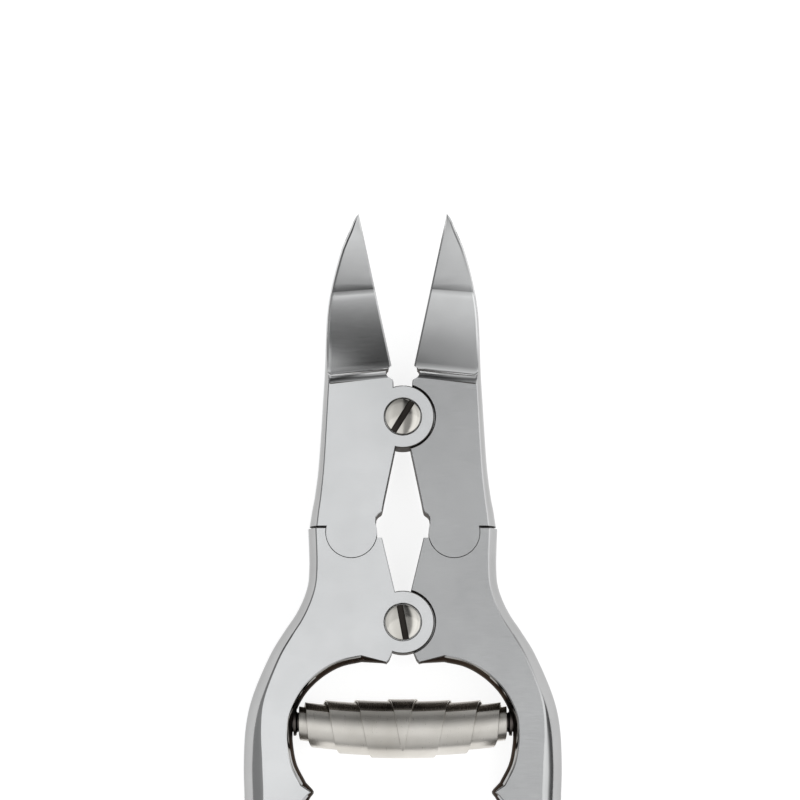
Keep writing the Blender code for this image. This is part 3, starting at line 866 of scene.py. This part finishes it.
class Nodes:
    """Short names for building a shader tree."""

    def __init__(self, name):
        self.material = bpy.data.materials.new(name)
        self.material.use_nodes = True
        self.tree = self.material.node_tree
        self.shader = self.tree.nodes["Principled BSDF"]

    def add(self, kind):
        return self.tree.nodes.new(kind)

    def join(self, source, target):
        self.tree.links.new(source, target)

    def position(self, stretch):
        """The object's own coordinates in metres, stretched along each axis."""
        place = self.add("ShaderNodeTexCoord")
        mapping = self.add("ShaderNodeMapping")
        mapping.inputs["Scale"].default_value = stretch
        self.join(place.outputs["Object"], mapping.inputs["Vector"])
        return mapping.outputs["Vector"]

    def noise(self, stretch, detail, roughness):
        noise = self.add("ShaderNodeTexNoise")
        noise.inputs["Scale"].default_value = 1
        noise.inputs["Detail"].default_value = detail
        noise.inputs["Roughness"].default_value = roughness
        self.join(self.position(stretch), noise.inputs["Vector"])
        return noise.outputs["Fac"]

    def ranged(self, value, low, high):
        spread = self.add("ShaderNodeMapRange")
        spread.inputs["From Min"].default_value = NOISE_RANGE[0]
        spread.inputs["From Max"].default_value = NOISE_RANGE[1]
        spread.inputs["To Min"].default_value = low
        spread.inputs["To Max"].default_value = high
        self.join(value, spread.inputs["Value"])
        return spread.outputs["Result"]

    def blend(self, share, first, second):
        mix = self.add("ShaderNodeMix")
        mix.data_type = "RGBA"
        colours = [socket for socket in mix.inputs if socket.type == "RGBA"]
        for socket, colour in zip(colours, (first, second)):
            socket.default_value = (*colour, 1)
        self.join(share, mix.inputs["Factor"])
        return next(socket for socket in mix.outputs if socket.type == "RGBA")

    def bump(self, height, strength, after=None):
        bump = self.add("ShaderNodeBump")
        bump.inputs["Strength"].default_value = strength
        bump.inputs["Distance"].default_value = LINE_DEPTH
        self.join(height, bump.inputs["Height"])
        if after:
            self.join(after, bump.inputs["Normal"])
        return bump.outputs["Normal"]


def metal(name, dark, light, roughness, brush, strength, tint=(1, 1, 1)):
    """Steel whose colour and roughness drift a little, with brush lines along one axis and fine wear. The
    tint is its colour at a grazing angle."""
    nodes = Nodes(name)
    shader = nodes.shader
    shader.inputs["Metallic"].default_value = 1.0
    shader.inputs["Specular Tint"].default_value = (*tint, 1)
    cloud = nodes.noise((90, 90, 90), 3, 0.6)
    nodes.join(nodes.blend(nodes.ranged(cloud, 0, 1), dark, light), shader.inputs["Base Color"])
    lines = nodes.noise(brush, 5, 0.7)
    nodes.join(nodes.ranged(lines, *roughness), shader.inputs["Roughness"])
    wear = nodes.noise((900, 14000, 900), 2, 0.5)
    wear_strength = 0.02
    relief = nodes.bump(wear, wear_strength, nodes.bump(lines, strength))
    nodes.join(relief, shader.inputs["Normal"])
    return nodes.material


FINE_GRAIN = (3000, 3000, 3000)
ALONG_SPRING = (9000, 700, 700)

SATIN = metal(
    "satin_face",
    dark=(0.655, 0.66, 0.665),
    light=(0.735, 0.74, 0.745),
    roughness=(0.17, 0.23),
    brush=(500, 16000, 500),
    strength=0.08,
)
GROUND = metal(
    "ground_blade",
    dark=(0.6, 0.6, 0.6),
    light=(0.7, 0.7, 0.7),
    roughness=(0.13, 0.18),
    brush=(500, 20000, 500),
    strength=0.06,
)
# Polished steel whose lower roughness is real; its base colour, darker than the satin faces', is painted
# shade for the rounded sides.
SIDE = metal(
    "polished_side_painted_shade",
    dark=(0.41, 0.41, 0.41),
    light=(0.48, 0.48, 0.48),
    roughness=(0.09, 0.15),
    brush=FINE_GRAIN,
    strength=0.03,
    tint=(0.75, 0.75, 0.75),
)
# Painted shade: the inner walls are the same steel, darkened to stand in for the shade and dark reflections
# in the bay, in the gaps and at the shoulders.
INNER_PAINTED_SHADE = metal(
    "inner_wall_painted_shade",
    dark=(0.08, 0.074, 0.068),
    light=(0.16, 0.15, 0.14),
    roughness=(0.28, 0.4),
    brush=(800, 800, 9000),
    strength=0.1,
    tint=(0.22, 0.2, 0.185),
)
SCREW = metal(
    "polished_screw",
    dark=(0.54, 0.52, 0.48),
    light=(0.66, 0.64, 0.6),
    roughness=(0.06, 0.12),
    brush=(3000, 9000, 3000),
    strength=0.03,
)
COIL = metal(
    "spring_satin",
    dark=(0.56, 0.53, 0.48),
    light=(0.8, 0.77, 0.72),
    roughness=(0.26, 0.38),
    brush=ALONG_SPRING,
    strength=0.12,
)
# Painted reflection: a dark band along the spring's upper side, standing in for the dark bay wall that the
# coil mirrors.
COIL_PAINTED_REFLECTION = metal(
    "spring_painted_reflection",
    dark=(0.16, 0.14, 0.12),
    light=(0.34, 0.31, 0.27),
    roughness=(0.2, 0.3),
    brush=ALONG_SPRING,
    strength=0.12,
)
# Painted shade: near-black steel for the screw slots and the shank's upright sides, standing in for the shade
# in these recesses.
SLOT_PAINTED_SHADE = metal(
    "slot_painted_shade",
    dark=(0.03, 0.027, 0.024),
    light=(0.07, 0.062, 0.055),
    roughness=(0.4, 0.55),
    brush=FINE_GRAIN,
    strength=0.08,
)
DARK = metal(
    "dark_peg",
    dark=(0.08, 0.07, 0.065),
    light=(0.16, 0.14, 0.13),
    roughness=(0.25, 0.4),
    brush=FINE_GRAIN,
    strength=0.08,
)


def paint(piece, materials, choose):
    """Gives each face the material that its middle and its normal call for."""
    for material in materials:
        piece.data.materials.append(material)
    indices = [choose(face.center / MM, face.normal) for face in piece.data.polygons]
    piece.data.polygons.foreach_set("material_index", indices)


# Where a forging's surfaces change: how level a satin face, a ground face and an arched side are, as the
# normal's Z, the heights of a ground face's foot and of the grip's top, and how far out the outer side is
FACE_LEVEL = 0.9975
GROUND_LEVEL = 0.6
ARCH_LEVEL = 0.35
GROUND_FOOT = BASE_UP - 2.2
GRIP_TOP = -25
OUTER_SIDE = 9.3


def forging_material(centre, normal):
    """0 satin face, 1 ground blade, 2 polished side whose darker base colour is painted shade, 3 inner wall
    darkened as painted shade and reflection.
    """
    out, up = abs(centre.x), centre.y
    if abs(normal.z) > FACE_LEVEL and up < BASE_UP - 1:
        return 0
    if up > GROUND_FOOT and abs(normal.z) > GROUND_LEVEL:
        return 1
    outer = normal.x * (1 if centre.x > 0 else -1) > 0
    if up > BASE_UP - 0.3:
        return 2
    if abs(normal.z) > ARCH_LEVEL and not outer:
        return 2
    if up < GRIP_TOP or (outer and out > OUTER_SIDE):
        return 2
    # What is left, the inner sides and the shoulder faces, gets the painted shade.
    return 3


def screw_material(axis):
    """Chooses 0, the polished head and shank, or 1, painted shade on the slot and the shank's upright sides,
    for a screw here.
    """

    def choose(centre, normal):
        reach = math.hypot(centre.x - axis.x, centre.y - axis.y)
        sunk = THICKNESS - SLOT_DEPTH < centre.z < THICKNESS + 0.02
        in_slot = sunk and reach < SCREW_HEAD_RADIUS - 0.05
        upright = abs(normal.z) < 0.15 < reach < 2.2
        return 1 if in_slot or upright else 0

    return choose


def spring_material(centre, normal):
    """0 satin sheet, 1 a painted reflection: a dark band along its upper side, standing in for the dark bay
    wall that it mirrors.
    """
    return 1 if 0.64 < normal.y < 0.97 and normal.z > 0.1 else 0


# Pieces on their bodies


def lean_front(piece, side):
    """Lets the front face fall away towards the piece's own side, as a forging that thins outwards does."""
    for vert in piece.data.vertices:
        out = EAR_RADIUS + side * vert.co.x / MM
        depth = vert.co.z / MM - MIDDLE
        if depth > 0:
            vert.co.z = (MIDDLE + depth * (1 - FACE_LEAN * out)) * MM


def finish_piece(piece, node, body):
    """Puts a piece on its body, in place of its CAD node."""
    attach(piece, body)
    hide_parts(node)


def add_forging(forging, node, side):
    """Finishes a jaw or handle. Its satin faces are shaded flat, and the rest smooth."""
    lean_front(forging, side)
    tidy(forging)
    shade(forging)
    paint(forging, (SATIN, GROUND, SIDE, INNER_PAINTED_SHADE), forging_material)
    smooth_faces = [face.material_index > 0 for face in forging.data.polygons]
    forging.data.polygons.foreach_set("use_smooth", smooth_faces)
    finish_piece(forging, node, BODY_OF[node])


BODY_OF = {}
for body_name, members in frame["record"]["behaviour"]["bodies"].items():
    for member in members:
        BODY_OF[member] = body_name

for half, side in (("left", -1), ("right", 1)):
    front_lap = side < 0
    jaw_node, handle_node = half + "_jaw", half + "_handle"
    add_forging(make_jaw(jaw_node, side, front_lap), jaw_node, side)
    add_forging(make_handle(handle_node, side, front_lap), handle_node, side)

    pin_node = half + "_link_pin"
    pin = make_link_pin(pin_node)
    shade(pin)
    paint(pin, (SIDE,), lambda centre, normal: 0)
    finish_piece(pin, pin_node, BODY_OF[pin_node])

    peg_node = half + "_spring_peg"
    peg = make_peg(peg_node, side)
    shade(peg, 35)
    paint(peg, (DARK,), lambda centre, normal: 0)
    finish_piece(peg, peg_node, BODY_OF[peg_node])

for node, slot_angle in (("handle_pivot_screw", 10.5), ("jaw_pivot_screw", -32.0)):
    screw = make_screw(node, slot_angle)
    shade(screw, 30)
    low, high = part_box(node)
    paint(screw, (SCREW, SLOT_PAINTED_SHADE), screw_material((low + high) / 2 / MM))
    finish_piece(screw, node, BODY_OF[node])

spring = make_spring("barrel_spring")
shade(spring, 40)
paint(spring, (COIL, COIL_PAINTED_REFLECTION), spring_material)
finish_piece(spring, "barrel_spring", "spring")
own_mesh(spring)


# Stage


def add_floor():
    """A pale floor that glows a little, so that it stays white round a tool that is lit softly."""
    reach = 3000
    shape = bmesh.new()
    bmesh.ops.create_grid(shape, x_segments=1, y_segments=1, size=reach)
    floor = new_object("floor", shape)
    nodes = Nodes("pale_floor")
    nodes.shader.inputs["Base Color"].default_value = (0.4, 0.4, 0.4, 1)
    nodes.shader.inputs["Roughness"].default_value = 0.9
    nodes.shader.inputs["Specular IOR Level"].default_value = 0.1
    nodes.shader.inputs["Emission Color"].default_value = (1, 1, 1, 1)
    nodes.shader.inputs["Emission Strength"].default_value = 0.84
    floor.data.materials.append(nodes.material)
    floor.location.z = -0.2 * MM


def add_key_light():
    """A broad soft light from above the grips, which brightens the floor in the openings too."""
    light = bpy.data.lights.new("key_light", "SUN")
    light.energy = 0.35
    light.angle = math.radians(80)
    key = link(bpy.data.objects.new("key_light", light))
    key.rotation_euler = Vector((0.12, -0.55, 0.83)).to_track_quat("Z", "Y").to_euler()


def add_world():
    """A studio whose brightness is one ramp across the tool times one along it: bright on both sides, with a
    dark band just right of overhead, and darker beyond the blades."""
    world = bpy.data.worlds.new("studio")
    bpy.context.scene.world = world
    world.use_nodes = True
    tree = world.node_tree
    background = tree.nodes["Background"]
    place = tree.nodes.new("ShaderNodeTexCoord")
    split = tree.nodes.new("ShaderNodeSeparateXYZ")
    tree.links.new(place.outputs["Generated"], split.inputs["Vector"])

    def ramp(value, stops):
        """Brightness along one axis of the surroundings, from -1 to 1."""
        spread = tree.nodes.new("ShaderNodeMapRange")
        spread.inputs["From Min"].default_value = -1
        tree.links.new(value, spread.inputs["Value"])
        tones = tree.nodes.new("ShaderNodeValToRGB")
        tones.color_ramp.interpolation = "EASE"
        while len(tones.color_ramp.elements) < len(stops):
            tones.color_ramp.elements.new(0.5)
        for element, (at, tone) in zip(tones.color_ramp.elements, stops):
            element.position = (at + 1) / 2
            element.color = (tone, tone, tone, 1)
        tree.links.new(spread.outputs["Result"], tones.inputs["Fac"])
        return tones.outputs["Color"]

    sideways = ramp(
        split.outputs["X"],
        (
            (-1.0, 0.4),
            (-0.75, 0.45),
            (-0.5, 0.8),
            (-0.25, 1.0),
            (-0.1, 0.83),
            (-0.02, 0.78),
            (0.04, 0.12),
            (0.12, 0.08),
            (0.2, 1.1),
            (0.28, 1.2),
            (0.4, 1.05),
            (0.75, 1.5),
            (0.93, 1.4),
            (0.985, 0.15),
            (1.0, 0.1),
        ),
    )
    lengthways = ramp(
        split.outputs["Y"],
        (
            (-1.0, 0.45),
            (-0.6, 0.65),
            (-0.3, 0.95),
            (0.15, 1.0),
            (0.3, 0.84),
            (0.45, 0.5),
            (0.6, 0.2),
            (0.75, 0.2),
            (1.0, 0.8),
        ),
    )
    product = tree.nodes.new("ShaderNodeMath")
    product.operation = "MULTIPLY"
    tree.links.new(sideways, product.inputs[0])
    tree.links.new(lengthways, product.inputs[1])
    tree.links.new(product.outputs["Value"], background.inputs["Strength"])
    background.inputs["Color"].default_value = (0.985, 0.995, 1.0, 1)


def add_camera():
    """Straight over the tool, leaning a little from the grips' side."""
    lean = math.radians(5)
    distance = 0.6
    framed = 0.1026
    target = Vector((-0.36, 28.46, THICKNESS)) * MM
    camera = bpy.data.cameras.new("camera")
    camera.sensor_width = 36
    camera.lens = camera.sensor_width * distance / framed
    camera.clip_start = 0.01
    view = link(bpy.data.objects.new("camera", camera))
    view.location = target + distance * Vector((0, -math.sin(lean), math.cos(lean)))
    view.rotation_euler = (lean, 0, 0)
    bpy.context.scene.camera = view


add_floor()
add_world()
add_key_light()
add_camera()
bpy.context.scene.view_settings.view_transform = "Standard"
